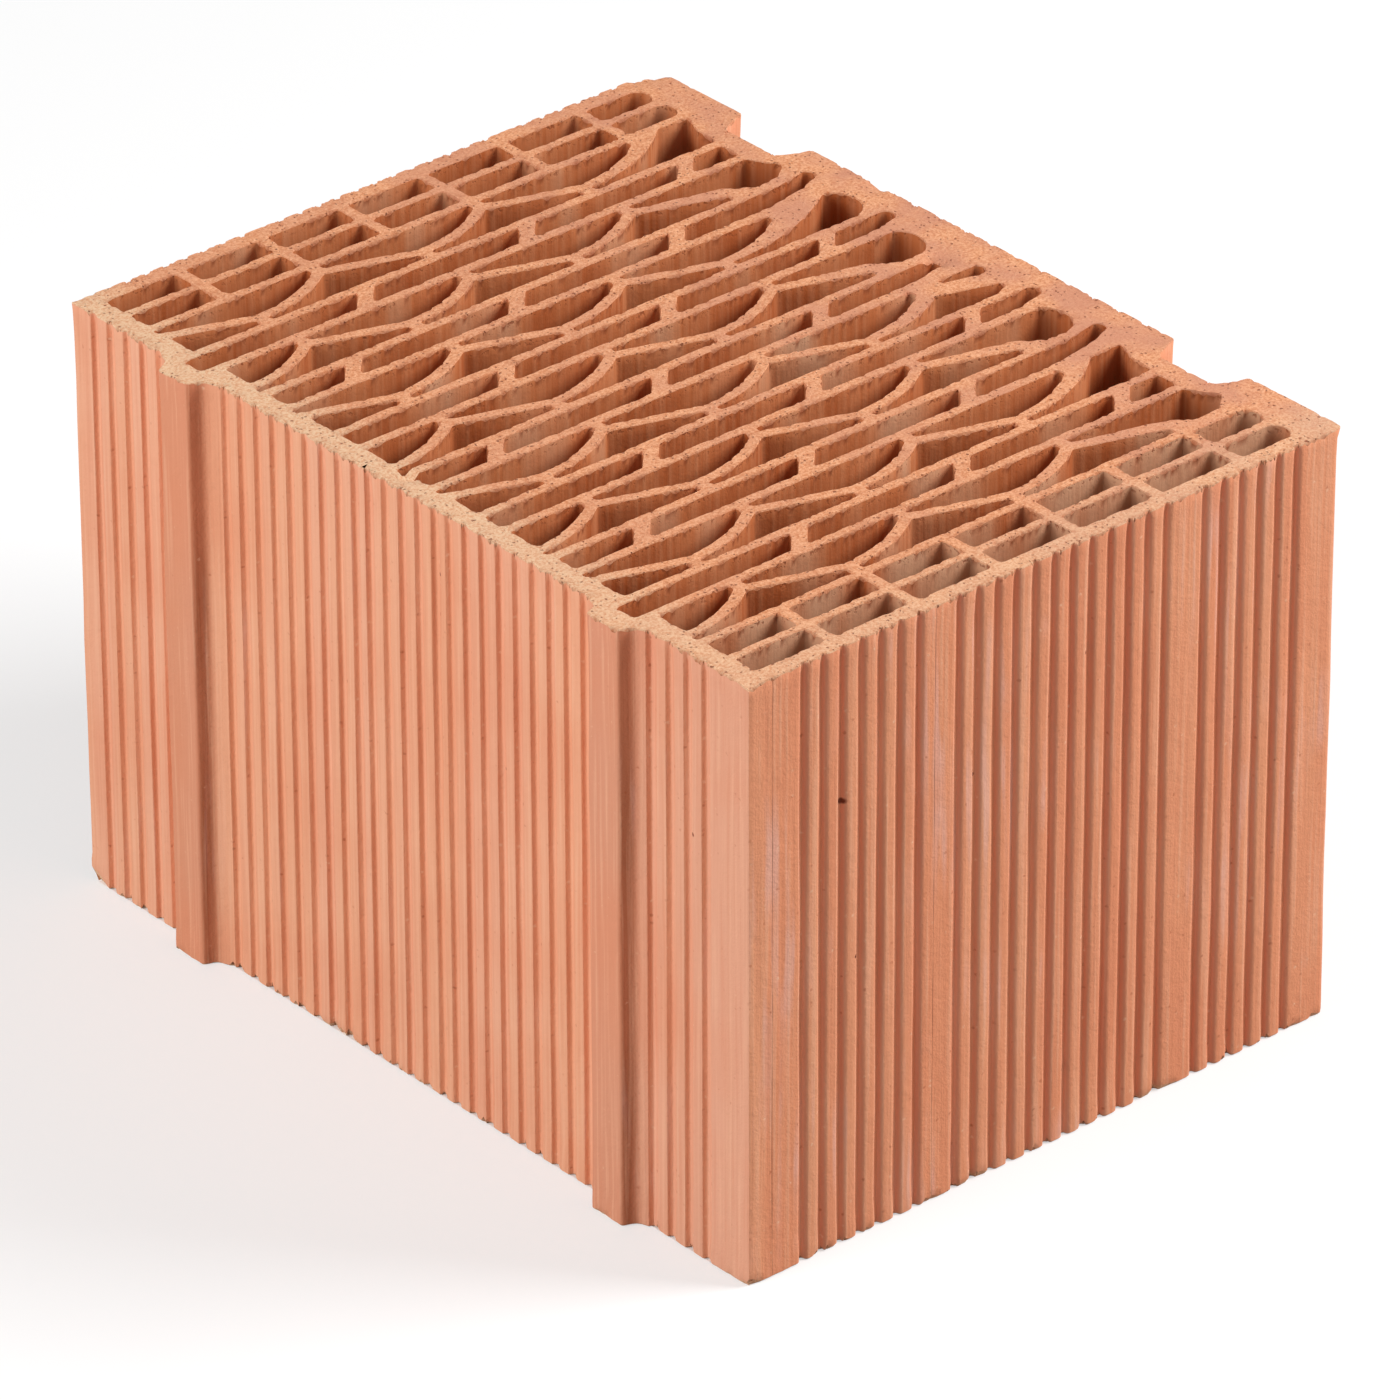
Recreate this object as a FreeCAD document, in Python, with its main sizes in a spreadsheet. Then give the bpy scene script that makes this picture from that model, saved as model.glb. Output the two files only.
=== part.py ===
import FreeCAD, Part
import Sketcher
import math
import os
import re

# Hollow clay wall block, fired in one piece. X runs along the wall, the tongue face is at -X
# and the groove face at +X. Y is the wall thickness, the visible combed face is at -Y.
# Z is the height, the block stands on its cut bed face at Z = 0.

doc = FreeCAD.newDocument("hollow_clay_block")
sheet = doc.addObject("Spreadsheet::Sheet", "Values")

# All dimensions in millimetres.
values = {
    # outer block
    "wall_thickness": 380.0,
    "block_height": 249.0,
    "body_length": 287.0,
    "far_corner_cut": 8.0,
    "near_corner_cut": 3.0,
    # two tongues on the -X face, each beside the middle of a slot row
    "joint_shift": 0.6,
    "tongue_rise": 8.0,
    "tongue_top_half": 8.5,
    "tongue_knee_rise": 2.4,
    "tongue_knee_half": 10.5,
    "tongue_foot_half": 17.0,
    "tongue_round": 2.0,
    "tongue_round_top": 1.41,
    "tongue_round_in": 1.33,
    "tongue_round_out": 0.47,
    # two grooves on the +X face
    "groove_depth": 13.5,
    "groove_floor_half": 14.5,
    "groove_mouth_half": 20.5,
    "groove_round": 4.0,
    "groove_round_floor": 2.6,
    "groove_round_in": 2.38,
    "groove_round_out": 1.06,
    # lattice of the slots along the block, from the tongue face and from the groove face
    "node_first": 45.2,
    "last_bay": 45.8,
    "end_wall": 10.0,
    "tongue_wall": 10.4,
    "groove_wall": 10.0,
    "plain_wall": 14.0,
    # shells and webs through the wall, from the combed face inwards
    "face_shell": 7.8,
    "cell_height": 11.0,
    "cell_rib": 3.8,
    "cell_web": 5.0,
    "cell_last_wall": 20.6,
    "cell_last_round": 5.7,
    "row_web": 4.0,
    "inner_web": 4.2,
    # straight slots with slanted cross webs
    "slot_height": 10.0,
    "slot_web_half": 4.0,
    "slot_slant_half": 4.6,
    # bands with a wavy web between lens holes and kite holes
    "post_half": 2.7,
    "hole_tip": 3.0,
    "wave_web": 4.0,
    "wave_round": 61.0,
    "half_kite_drop": 1.2,
    # last slots along the groove face, bent by the die
    "end_round": 3.7,
    "odd_bend_back": 25.0,
    "odd_bend_lift": 1.2,
    "odd_end_drop": 6.6,
    "odd_top_lift": 0.6,
    "even_bend_back": 43.0,
    "even_bend_lift": 0.6,
    "even_knee_back": 23.0,
    "even_knee_lift": 4.2,
    "even_end_back": 13.0,
    "even_end_drop": 1.8,
    "even_top_back": 14.6,
    "even_top_lift": 3.8,
    "even_shoulder_back": 29.0,
    "even_shoulder_lift": 1.2,
    "middle_bend_back": 38.0,
    "middle_bend_lift": 1.4,
    "middle_end_back": 26.0,
    "middle_end_drop": 5.4,
    "middle_top_back": 24.6,
    "middle_top_lift": 0.6,
    # last holes of the wavy bands
    "end_arc_short": 75.0,
    "end_arc_long": 110.0,
    "round_ease": 0.4,
    "round_foot_back": 23.0,
    "kite_lean": 0.8,
    "kite_knee_drop": 10.0,
    "kite_top_back": 17.4,
    "kite_top_width": 15.0,
    "small_foot_back": 25.0,
    "small_end_back": 18.4,
    "small_end_low": 3.0,
    "small_end_high": 5.6,
    "small_peak_shift": 2.0,
    "small_peak_drop": 1.5,
    "sliver_start_back": 35.0,
    "sliver_start_drop": 2.6,
    "sliver_end_back": 18.6,
    "sliver_end_drop": 6.6,
    "sliver_top_back": 16.6,
    "fall_knee_shift": 0.6,
    "fall_knee_drop": 12.6,
    "fall_foot_back": 35.4,
    "fall_foot_lift": 2.0,
    "bulge_low_back": 24.4,
    "bulge_low_lift": 2.8,
    "bulge_back": 16.0,
    "bulge_drop": 12.4,
    "bulge_high_back": 20.6,
    "bulge_high_drop": 7.0,
    "bulge_top_back": 24.0,
    "round_low_back": 25.0,
    "round_top_back": 21.0,
    # combed grooves
    "comb_outside": 1.0,
    "comb_depth": 2.2,
    "comb_round": 2.3,
    "comb_mouth": 5.4,
    "comb_floor": 0.8,
    "comb_front_mouth": 6.2,
    "comb_front_floor": 1.6,
    "comb_front_first": 26.2,
    "comb_front_last": 22.7,
    "comb_front_gap": 18.95,
    "comb_side_first": 18.8,
    "comb_side_last": 20.52,
    "comb_side_gap": 7.94,
    "comb_outer_first": 46.5,
    "comb_outer_last": 17.4,
    "comb_outer_pitch": 9.6,
    "comb_groove_clear": 16.1,
}
# Sizes that follow from the others, so the lattice always fills the block between its shells.
fitted = {
    "node_pitch": "0.2*body_length - 0.2*node_first - 0.2*last_bay",
    "row_pitch": "0.125*wall_thickness - 0.25*face_shell - 0.5*cell_height - 0.25*cell_rib - 0.25*row_web"
                 " + 0.125*slot_height + 0.25*inner_web",
    "band_height": "row_pitch - slot_height - 2*inner_web",
    "cell_row_outer": "0.5*wall_thickness - face_shell - 0.5*cell_height",
    "cell_row_inner": "cell_row_outer - cell_height - cell_rib",
    "wave_round_outer": "wave_round + wave_web",
    "joint_spread": "3*row_pitch - joint_shift",
    "groove_end": "body_length - groove_depth - groove_wall",
    "big_round": "0.5*band_height + round_ease",
    "front_pitch": "body_length/22 - comb_front_first/22 - comb_front_last/22 - comb_front_gap/11",
    "side_pitch": "0.1*joint_spread - 0.05*comb_side_first - 0.05*comb_side_last - 0.1*comb_side_gap",
    "groove_pitch": "joint_spread/6 - groove_mouth_half/6 - comb_groove_clear/6",
}
for index, (alias, value) in enumerate(values.items(), start=1):
    sheet.set("A%d" % index, alias.replace("_", " "))
    sheet.set("B%d" % index, str(value))
    sheet.setAlias("B%d" % index, alias)
doc.recompute()


def number(text):
    """Value of a sum of named dimensions, used to draw a sketch before its constraints hold it."""
    total = 0.0
    for sign, factor, term, part in re.findall(
            r"([+-]?)\s*(?:([\d.]+)\s*\*\s*)?([a-z]\w*|[\d.]+)(?:/(\d+))?", text):
        size = values[term] if term in values else number(fitted[term]) if term in fitted else float(term)
        total += (-1.0 if sign == "-" else 1.0) * float(factor or 1.0) * size / float(part or 1.0)
    return total


def bound(text):
    """The same sum as a sheet expression."""
    return re.sub(r"[a-z]\w*", lambda found: "(" + bound(fitted[found.group(0)]) + ")"
                  if found.group(0) in fitted else "Values." + found.group(0), text)


BODY_X = "0.5*tongue_rise - 0.5*body_length"
FRONT_Y = "0 - 0.5*wall_thickness"
MIDDLE = "0.5*wall_thickness"


def draw(name, origin_x, origin_y, loops, turn=0.0):
    """Closed loops on the bed face. A corner is (x, y), with (radius, side of centre) before an arc."""
    sketch = doc.addObject("Sketcher::SketchObject", name)
    sketch.Placement = FreeCAD.Placement(
        FreeCAD.Vector(number(origin_x), number(origin_y), 0),
        FreeCAD.Rotation(FreeCAD.Vector(0, 0, 1), turn))
    sketch.setExpression("Placement.Base.x", bound(origin_x))
    sketch.setExpression("Placement.Base.y", bound(origin_y))
    geometry, constraints, names = [], [], []
    for corners in loops:
        points = [FreeCAD.Vector(number(c[0]), number(c[1]), 0) for c in corners]
        first_edge = len(geometry)
        ends = []
        for i, corner in enumerate(corners):
            a, b = points[i], points[(i + 1) % len(points)]
            if len(corner) == 2:
                geometry.append(Part.LineSegment(a, b))
                ends.append((1, 2))
                continue
            radius = number(corner[2])
            chord = b - a
            left = FreeCAD.Vector(-chord.y, chord.x, 0).normalize()
            reach = math.sqrt(max(radius ** 2 - (chord.Length / 2) ** 2, 0.0))
            ccw = corner[3] == "left"
            centre = (a + b) * 0.5 + left * (reach if ccw else -reach)
            first, last = (a, b) if ccw else (b, a)
            start = math.atan2(first.y - centre.y, first.x - centre.x)
            stop = math.atan2(last.y - centre.y, last.x - centre.x)
            stop += 2 * math.pi if stop < start else 0.0
            circle = Part.Circle(centre, FreeCAD.Vector(0, 0, 1), radius)
            geometry.append(Part.ArcOfCircle(circle, start, stop))
            ends.append((1, 2) if ccw else (2, 1))
        for i, corner in enumerate(corners):
            edge, following = first_edge + i, first_edge + (i + 1) % len(corners)
            constraints.append(Sketcher.Constraint(
                "Coincident", edge, ends[i][1], following, ends[(i + 1) % len(corners)][0]))
            names.append(None)
            constraints.append(Sketcher.Constraint("DistanceX", -1, 1, edge, ends[i][0], points[i].x))
            names.append(("across%d" % edge, corner[0]))
            constraints.append(Sketcher.Constraint("DistanceY", -1, 1, edge, ends[i][0], points[i].y))
            names.append(("along%d" % edge, corner[1]))
            if len(corner) > 2:
                constraints.append(Sketcher.Constraint("Radius", edge, number(corner[2])))
                names.append(("round%d" % edge, corner[2]))
    sketch.addGeometry(geometry, False)
    for constraint, held in zip(constraints, names):
        if held:
            constraint.Name = held[0]
    sketch.addConstraint(constraints)
    for held in names:
        if held:
            sketch.setExpression("Constraints." + held[0], bound(held[1]))
    return sketch


def repeat(sketch, across=(1, "node_pitch"), rows=(1, "row_pitch")):
    """The sketch and its linked copies in a regular array along X and Y, every step held by the sheet."""
    origin = [dict(sketch.ExpressionEngine)[".Placement.Base." + axis] for axis in "xy"]
    outlines = [sketch]
    for i in range(across[0]):
        for j in range(rows[0]):
            if i + j == 0:
                continue
            copy = doc.addObject("App::Link", "%s_%d_%d" % (sketch.Name, i, j))
            copy.LinkedObject = sketch
            copy.Placement = sketch.Placement
            copy.setExpression("Placement.Base.x", "%s + %d*(%s)" % (origin[0], i, bound(across[1])))
            copy.setExpression("Placement.Base.y", "%s + %d*(%s)" % (origin[1], j, bound(rows[1])))
            outlines.append(copy)
    return outlines


def face(name, outlines):
    """Plane face or faces inside closed outlines."""
    plane = doc.addObject("Part::Face", name)
    plane.Sources = outlines
    plane.FaceMakerClass = "Part::FaceMakerBullseye"
    return plane


# Outer section: two tongues on the left, two grooves on the right, cut corners at the groove face.
right = "body_length + tongue_rise"
floor_x = right + " - groove_depth"
knee_x = "tongue_rise - tongue_knee_rise"
outline = [("tongue_rise", "0"), (right + " - near_corner_cut", "0"), (right, "near_corner_cut")]
for place in (MIDDLE + " - joint_spread", MIDDLE + " + joint_spread"):
    outline += [
        (right, place + " - groove_mouth_half"),
        (floor_x + " + groove_round_in", place + " - groove_floor_half - groove_round_out",
         "groove_round", "right"),
        (floor_x, place + " - groove_floor_half + groove_round_floor"),
        (floor_x, place + " + groove_floor_half - groove_round_floor", "groove_round", "right"),
        (floor_x + " + groove_round_in", place + " + groove_floor_half + groove_round_out"),
        (right, place + " + groove_mouth_half"),
    ]
outline += [(right, "wall_thickness - far_corner_cut"), (right + " - far_corner_cut", "wall_thickness"),
            ("tongue_rise", "wall_thickness")]
for place in (MIDDLE + " + joint_spread", MIDDLE + " - joint_spread"):
    outline += [
        ("tongue_rise", place + " + tongue_foot_half"),
        (knee_x, place + " + tongue_knee_half"),
        ("tongue_round_in", place + " + tongue_top_half + tongue_round_out", "tongue_round", "left"),
        ("0", place + " + tongue_top_half - tongue_round_top"),
        ("0", place + " - tongue_top_half + tongue_round_top", "tongue_round", "left"),
        ("tongue_round_in", place + " - tongue_top_half - tongue_round_out"),
        (knee_x, place + " - tongue_knee_half"),
        ("tongue_rise", place + " - tongue_foot_half"),
    ]
section = face("section_face", [draw("section", BODY_X + " - tongue_rise", FRONT_Y, [outline])])


# Upright combed grooves between rounded ribs, a few runs on each side face.
def comb(name, turn, origin, mouth, floor, count, pitch):
    """One groove with rounded lips, repeated along its face. The sketch's y axis points into the clay."""
    deep = "comb_outside + comb_depth"
    shoulder = ["0.5*%s - 0.5*%s" % (mouth, floor), "0.5*%s + 0.5*%s" % (mouth, floor)]
    corners = [("0", "0"), (mouth, "0"), (mouth, "comb_outside", "comb_round", "right"),
               (shoulder[1], deep), (shoulder[0], deep, "comb_round", "right"), ("0", "comb_outside")]
    sketch = draw(name, origin[0], origin[1], [corners], turn)
    steps = {"across": (count, pitch)} if turn in (0, 180) else {"rows": (count, pitch)}
    return repeat(sketch, **steps)


combs = []
front = ("comb_front_mouth", "comb_front_floor")
first = BODY_X + " + comb_front_first"
runs = [(first, 7), (first + " + 6*front_pitch + comb_front_gap", 12),
        (first + " + 17*front_pitch + 2*comb_front_gap", 6)]
for i, (start, count) in enumerate(runs, start=1):
    near = (start + " - 0.5*comb_front_mouth", FRONT_Y + " - comb_outside")
    combs += comb("comb_front_%d" % i, 0, near, *front, count, "front_pitch")
    far = (start + " + 0.5*comb_front_mouth", MIDDLE + " + comb_outside")
    combs += comb("comb_far_%d" % i, 180, far, *front, count, "front_pitch")
side = ("comb_mouth", "comb_floor")
first = "comb_side_first - joint_spread"
runs = [("0 - joint_spread - comb_outer_first", 4, "comb_outer_pitch"), (first, 9, "side_pitch"),
        (first + " + 8*side_pitch + comb_side_gap", 5, "side_pitch"),
        (first + " + 12*side_pitch + 2*comb_side_gap", 9, "side_pitch"),
        ("joint_spread + comb_outer_last", 5, "comb_outer_pitch")]
for i, (start, count, pitch) in enumerate(runs, start=1):
    origin = (BODY_X + " - comb_outside", start + " + 0.5*comb_mouth")
    combs += comb("comb_tongue_face_%d" % i, -90, origin, *side, count, pitch)
origin = (BODY_X + " + body_length + comb_outside", "0 - 6*groove_pitch - 0.5*comb_mouth")
combs += comb("comb_groove_face", 90, origin, *side, 13, "groove_pitch")

# Rectangular cells: two rows behind each combed face, seven cells a row.
cell_rows = [MIDDLE + row + " - 0.5*cell_height" for row in (
    " - cell_row_outer", " - cell_row_inner", " + cell_row_inner", " + cell_row_outer")]


def box(x0, x1, low, height):
    """Rectangle from its two ends, its lower side and its height."""
    return [(x0, low), (x1, low), (x1, low + " + " + height), (x0, low + " + " + height)]


holes = []
cells = [box("node_first + 0.5*cell_web", "node_first + node_pitch - 0.5*cell_web", low, "cell_height")
         for low in cell_rows]
holes += repeat(draw("cells", BODY_X, FRONT_Y, cells), (5, "node_pitch"))

# Wavy bands. Odd bands have the wave's crests on the second, fourth and sixth lattice nodes,
# even bands on the first, third and fifth, and the bands alternate every row pitch.
node = ["node_first + %d*node_pitch" % k for k in range(6)]


def band(row):
    """Lower edge of the wavy band whose middle is this many row pitches from the middle of the wall."""
    return MIDDLE + " %s %s*row_pitch - 0.5*band_height" % ("-" if row < 0 else "+", abs(row))


def lens(centre, low):
    """Hole above the wave: straight top, left side falling straight, right side rising in an arc."""
    x0, x1 = centre + " - node_pitch + post_half", centre + " + node_pitch - post_half"
    top = low + " + band_height"
    return [(x0, top + " - hole_tip"), (centre, low + " + hole_tip + wave_web", "wave_round", "left"),
            (x1, top + " - hole_tip"), (x1, top), (x0, top)]


def kite(centre, low):
    """Hole below the wave, under its crest."""
    x0, x1 = centre + " - node_pitch + post_half", centre + " + node_pitch - post_half"
    crest = low + " + band_height - hole_tip - wave_web"
    return [(x0, low), (x1, low), (x1, low + " + hole_tip"),
            (centre, crest, "wave_round_outer", "right"), (x0, low + " + hole_tip")]


def slot(start, stop, row):
    """Straight slot with leaning ends, or with a square left end at a plain wall."""
    low = MIDDLE + " %s %s*row_pitch - 0.5*slot_height" % ("-" if row < 0 else "+", abs(row))
    lean = " + slot_web_half %s slot_slant_half"
    wall = "node" not in start
    return [(start + ("" if wall else lean % "-"), low),
            (stop + " - slot_web_half - slot_slant_half", low),
            (stop + " - slot_web_half + slot_slant_half", low + " + slot_height"),
            (start + ("" if wall else lean % "+"), low + " + slot_height")]


every = (4, "2*row_pitch")
loops = [lens(node[0], band(-2.5)), kite(node[0], band(-3.5))]
holes += repeat(draw("waves", BODY_X, FRONT_Y, loops), (3, "2*node_pitch"), every)
loops = [kite(node[1], band(-2.5)), lens(node[1], band(-3.5)), slot(node[1], node[3], -3)]
holes += repeat(draw("waves_between", BODY_X, FRONT_Y, loops), (2, "2*node_pitch"), every)
loops = [slot(node[0], node[2], -2)]
holes += repeat(draw("slots", BODY_X, FRONT_Y, loops), (2, "2*node_pitch"), (3, "2*row_pitch"))

# Half holes where the waves run into the tongue face wall.
low, high = band(-2.5), band(-3.5)
stop = "node_first - post_half"
loops = [[("end_wall", low), (stop, low), (stop, low + " + hole_tip"),
          ("end_wall", low + " + band_height - hole_tip - wave_web - half_kite_drop")],
         [("end_wall", high + " + hole_tip + wave_web", "wave_round", "left"),
          (stop, high + " + band_height - hole_tip"),
          (stop, high + " + band_height"), ("end_wall", high + " + band_height")]]
holes += repeat(draw("wave_ends", BODY_X, FRONT_Y, loops), rows=every)

# First cell or slot of each row; the slots behind the tongues reach into them.
loops = [box("end_wall", "node_first - 0.5*cell_web", low, "cell_height") for low in cell_rows]
holes += [draw("first_cells", BODY_X, FRONT_Y, loops)]
loops = [slot("tongue_wall - tongue_rise", node[1], -3)]
holes += repeat(draw("first_slots_tongue", BODY_X, FRONT_Y, loops), rows=(2, "6*row_pitch"))
loops = [slot("end_wall", node[1], -1)]
holes += repeat(draw("first_slots_odd", BODY_X, FRONT_Y, loops), rows=(2, "2*row_pitch"))
loops = [slot("end_wall", node[0], -2)]
holes += repeat(draw("first_slots_even", BODY_X, FRONT_Y, loops), rows=(3, "2*row_pitch"))


def last_hole(name, row_low, corners, rows):
    """Hole beside the groove face, its heights given above the row's lower edge."""
    lifted = [(c[0], row_low + " + " + c[1]) + tuple(c[2:]) for c in corners]
    holes.extend(repeat(draw(name, BODY_X, FRONT_Y, [lifted]), rows=rows))


def back(name):
    """Place along the block, this far from the groove face."""
    return "body_length - " + name


# Last holes along the groove face. Those beside a groove are shortened by it.
start = node[5] + " + 0.5*cell_web"
corners = [(start, "0"), (back("cell_last_wall"), "0", "cell_last_round", "left"),
           (back("cell_last_wall"), "cell_height"), (start, "cell_height")]
for name, low in (("last_cells_near", cell_rows[0]), ("last_cells_far", cell_rows[2])):
    last_hole(name, low, corners, (2, "cell_row_outer - cell_row_inner"))
slot_low = MIDDLE + " - %d*row_pitch - 0.5*slot_height"
lean = [[node[k] + " + slot_web_half %s slot_slant_half" % sign for sign in "-+"] for k in (4, 5)]
corners = [(lean[1][0], "0"), ("groove_end", "0"), ("groove_end", "slot_height"), (lean[1][1], "slot_height")]
last_hole("last_slots_groove", slot_low % 3, corners, (2, "6*row_pitch"))
corners = [(lean[1][0], "0"), (back("odd_bend_back"), "odd_bend_lift"),
           (back("plain_wall"), "slot_height - odd_end_drop", "end_round", "left"),
           (back("plain_wall"), "slot_height + odd_top_lift"), (lean[1][1], "slot_height")]
last_hole("last_slots_odd", slot_low % 1, corners, (2, "2*row_pitch"))
corners = [(lean[0][0], "0"), (back("even_bend_back"), "even_bend_lift"),
           (back("even_knee_back"), "even_knee_lift"),
           (back("even_end_back"), "slot_height - even_end_drop", "end_round", "left"),
           (back("even_top_back"), "slot_height + even_top_lift"),
           (back("even_shoulder_back"), "slot_height + even_shoulder_lift"), (lean[0][1], "slot_height")]
last_hole("last_slots_even", slot_low % 2, corners, (2, "4*row_pitch"))
corners = [(lean[0][0], "0"), (back("middle_bend_back"), "middle_bend_lift"),
           (back("middle_end_back"), "slot_height - middle_end_drop", "end_round", "left"),
           (back("middle_top_back"), "slot_height + middle_top_lift"), (lean[0][1], "slot_height")]
last_hole("last_slot_middle", slot_low % 0, corners, (1, "row_pitch"))

tip = node[4] + " + post_half"
corners = [(tip, "0"), ("groove_end + kite_lean", "0"),
           ("groove_end + 2*kite_lean", "band_height - kite_knee_drop"),
           (back("kite_top_back"), "band_height"),
           (back("kite_top_back - kite_top_width"), "band_height", "end_arc_short", "right"), (tip, "hole_tip")]
last_hole("last_kites_groove", band(-2.5), corners, (2, "6*row_pitch"))
corners = [(tip, "0"), (back("round_foot_back"), "0", "big_round", "left"),
           (back("cell_last_wall"), "band_height - round_ease", "end_arc_long", "right"), (tip, "hole_tip")]
last_hole("last_kite_round", band(1.5), corners, (1, "row_pitch"))
corners = [(tip, "0"), (back("small_foot_back"), "0"), (back("small_end_back"), "small_end_low"),
           (back("small_end_back"), "small_end_high"),
           (node[5] + " + small_peak_shift", "band_height - hole_tip - wave_web - small_peak_drop",
            "wave_round_outer", "right"), (tip, "hole_tip")]
last_hole("last_kite_small", band(-0.5), corners, (1, "row_pitch"))
corners = [(back("sliver_start_back"), "band_height - sliver_start_drop"),
           (back("sliver_end_back"), "band_height - sliver_end_drop", "end_round", "left"),
           (back("sliver_top_back"), "band_height"), (back("sliver_start_back"), "band_height")]
last_hole("last_lens_small", band(-0.5), corners, (1, "row_pitch"))
fall = [(tip, "band_height - hole_tip"), (node[5] + " - fall_knee_shift", "band_height - fall_knee_drop"),
        (back("fall_foot_back"), "fall_foot_lift")]
corners = fall + [(back("bulge_low_back"), "bulge_low_lift"), (back("bulge_back"), "band_height - bulge_drop"),
                  (back("bulge_high_back"), "band_height - bulge_high_drop"),
                  (back("bulge_top_back"), "band_height"), (tip, "band_height")]
last_hole("last_lenses_groove", band(-3.5), corners, (2, "6*row_pitch"))
corners = fall + [(back("round_low_back"), "fall_foot_lift", "big_round", "left"),
                  (back("round_top_back"), "band_height"), (tip, "band_height")]
last_hole("last_lenses_round", band(-1.5), corners, (2, "2*row_pitch"))

# The section without its combed grooves and holes, raised to the block's height.
combed = doc.addObject("Part::Cut", "combed_section")
combed.Base = section
combed.Tool = face("comb_faces", combs)
perforated = doc.addObject("Part::Cut", "perforated_section")
perforated.Base = combed
perforated.Tool = face("hole_faces", holes)
block = doc.addObject("Part::Extrusion", "block")
block.Base = perforated
block.DirMode = "Custom"
block.Dir = FreeCAD.Vector(0, 0, 1)
block.setExpression("LengthFwd", bound("block_height"))
block.Label = "hollow_clay_block"
doc.recompute()

for item in doc.Objects:
    if "Invalid" in item.State or "Error" in item.State:
        raise RuntimeError("%s failed: %s" % (item.Name, item.State))
    if hasattr(item, "Shape") and (item.Shape.isNull() or not item.Shape.isValid()):
        raise RuntimeError("%s has no sound shape" % item.Name)
if len(block.Shape.Solids) != 1:
    raise RuntimeError("the block must stay one piece")
print("volume cm3", round(block.Shape.Volume / 1000, 1), "faces", len(block.Shape.Faces), block.Shape.BoundBox)
os.makedirs("parts", exist_ok=True)
block.Shape.Solids[0].exportStep("parts/%s.step" % block.Label)
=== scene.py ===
import bpy
import math
import random
import numpy as np
from mathutils import Matrix, Vector, geometry, kdtree, noise


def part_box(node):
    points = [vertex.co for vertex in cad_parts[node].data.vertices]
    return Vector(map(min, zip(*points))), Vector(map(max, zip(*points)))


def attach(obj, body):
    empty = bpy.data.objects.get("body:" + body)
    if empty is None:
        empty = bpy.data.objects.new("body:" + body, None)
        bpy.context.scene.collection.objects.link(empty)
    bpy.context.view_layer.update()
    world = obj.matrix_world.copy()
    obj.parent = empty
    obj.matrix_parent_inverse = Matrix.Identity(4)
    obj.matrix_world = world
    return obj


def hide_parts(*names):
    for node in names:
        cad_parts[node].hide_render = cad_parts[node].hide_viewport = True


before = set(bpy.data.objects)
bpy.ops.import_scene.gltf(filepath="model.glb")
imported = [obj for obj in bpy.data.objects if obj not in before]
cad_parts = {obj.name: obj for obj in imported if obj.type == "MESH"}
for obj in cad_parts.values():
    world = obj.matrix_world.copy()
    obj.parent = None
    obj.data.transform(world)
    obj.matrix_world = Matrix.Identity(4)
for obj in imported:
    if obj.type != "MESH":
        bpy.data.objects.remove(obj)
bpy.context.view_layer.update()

# The block is one piece of clay pushed through a die, cut to height with a wire, dried and fired.
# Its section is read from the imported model. The edges get the rounding of the die and the ragged
# lips, nicks and crumbled corners that the wire leaves. Lengths here are in millimetres.
MM = 1000
BLOCK_LENGTH, WALL_THICKNESS = 295, 380
cad_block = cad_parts["hollow_clay_block"]
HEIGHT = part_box("hollow_clay_block")[1].z * MM
FACES_UP, AT_THE_TOP = 0.99, 0.1

cad_points = np.array([v.co for v in cad_block.data.vertices]) * MM
following = {}
for face in cad_block.data.polygons:
    if face.normal.z > FACES_UP and face.center.z * MM > HEIGHT - AT_THE_TOP:
        around = [tuple(np.round(cad_points[i][:2], 3)) for i in face.vertices]
        for a, b in zip(around, around[1:] + around[:1]):
            if a in following.get(b, ()):
                following[b].discard(a)
            else:
                following.setdefault(a, set()).add(b)
loops = []
while any(following.values()):
    start = next(p for p in following if following[p])
    loop = [start]
    while True:
        step = following[loop[-1]].pop()
        if step == start:
            break
        loop.append(step)
    loops.append(np.array(loop))
# The outline is the largest loop and comes first. Clay lies on the left of every loop.
loops.sort(key=lambda loop: -np.ptp(loop[:, 0]) * np.ptp(loop[:, 1]))


def cross(a, b):
    """Positive where b turns to the left of a."""
    return a[0] * b[1] - a[1] * b[0]


# On the tongue and groove faces the comb's grooves lean: steep behind each rib, gentle up to the next one.
# TOOTH gives the depth across such a groove, as shares of its mouth and of TOOTH_DEPTH. A groove is found by
# its short floor and runs to the ends of the arcs beside it, or up the small step at a tongue's foot.
TOOTH = ((0.0, 0.0), (0.06, 0.17), (0.13, 0.6), (0.20, 0.95), (0.28, 1.0), (0.42, 0.84), (0.58, 0.56),
         (0.74, 0.27), (0.88, 0.08))
TOOTH_DEPTH, COMB_FLOOR, ARC_STEP, STRAIGHT = 1.9, 2.2, 0.5, 0.99
outer = np.roll(loops[0], -int(np.argmin(loops[0].sum(1))), 0)
steps = np.roll(outer, -1, 0) - outer
sizes = np.linalg.norm(steps, axis=1)
comb_floors = [k for k in range(1, len(outer) - 1)
               if sizes[k] < COMB_FLOOR and abs(steps[k][1]) > STRAIGHT * sizes[k]
               and cross(steps[k - 1], steps[k]) < 0 and cross(steps[k], steps[k + 1]) < 0]
redrawn, done = [], 0
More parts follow.
